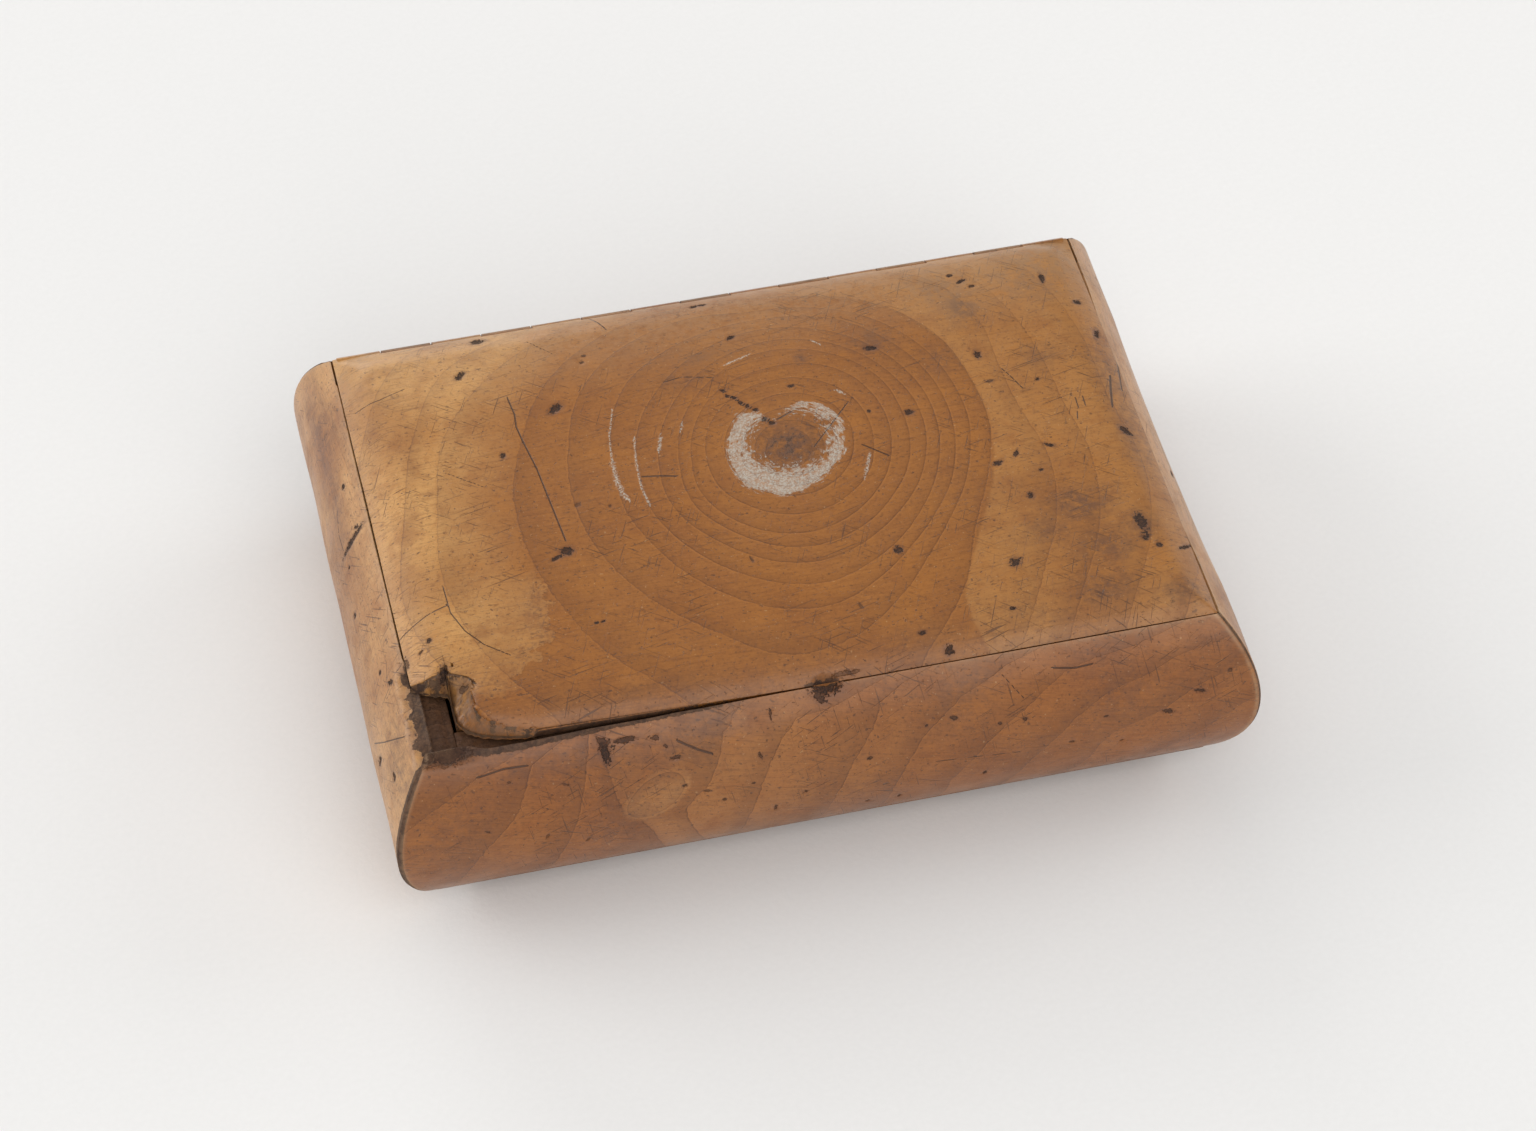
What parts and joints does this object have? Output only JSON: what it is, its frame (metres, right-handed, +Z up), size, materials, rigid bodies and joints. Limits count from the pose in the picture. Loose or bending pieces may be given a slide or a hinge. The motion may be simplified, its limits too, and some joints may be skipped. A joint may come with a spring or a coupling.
{
  "type": "snuff box",
  "caption": "Small oblong wooden snuff box: mitred rails with bulging faces round a thin carcass, and a flat lid on a wooden knuckle hinge along the back edge.",
  "frame": {"origin": "centre of the footprint, on the plane the flat underside rests on", "axes": "+X along the long sides and the hinge line, +Y towards the hinged back, +Z up; the side that opens faces -Y"},
  "size_m": [0.1, 0.0712, 0.03],
  "materials": {
    "lid_wood": "worn wax polish",
    "rail_wood": "worn wax polish",
    "carcass_wood": "bare, grimy",
    "bottom_wood": "worn wax polish",
    "pin_brass": "dull drawn wire"
  },
  "bodies": {
    "box": {"wall_front": "carcass_wood", "wall_back": "carcass_wood", "wall_left": "carcass_wood", "wall_right": "carcass_wood", "rail_front": "rail_wood", "rail_back": "rail_wood", "rail_left": "rail_wood", "rail_right": "rail_wood", "bottom_board": "bottom_wood", "hinge_pin": "pin_brass"},
    "lid": {"lid": "lid_wood"}
  },
  "joints": [
    {"name": "lid_hinge", "type": "hinge", "parent": "box", "child": "lid", "pos_m": [0, 0.02937, 0.02572], "axis": [-1, 0, 0], "range_deg": [0, 95]}
  ]
}
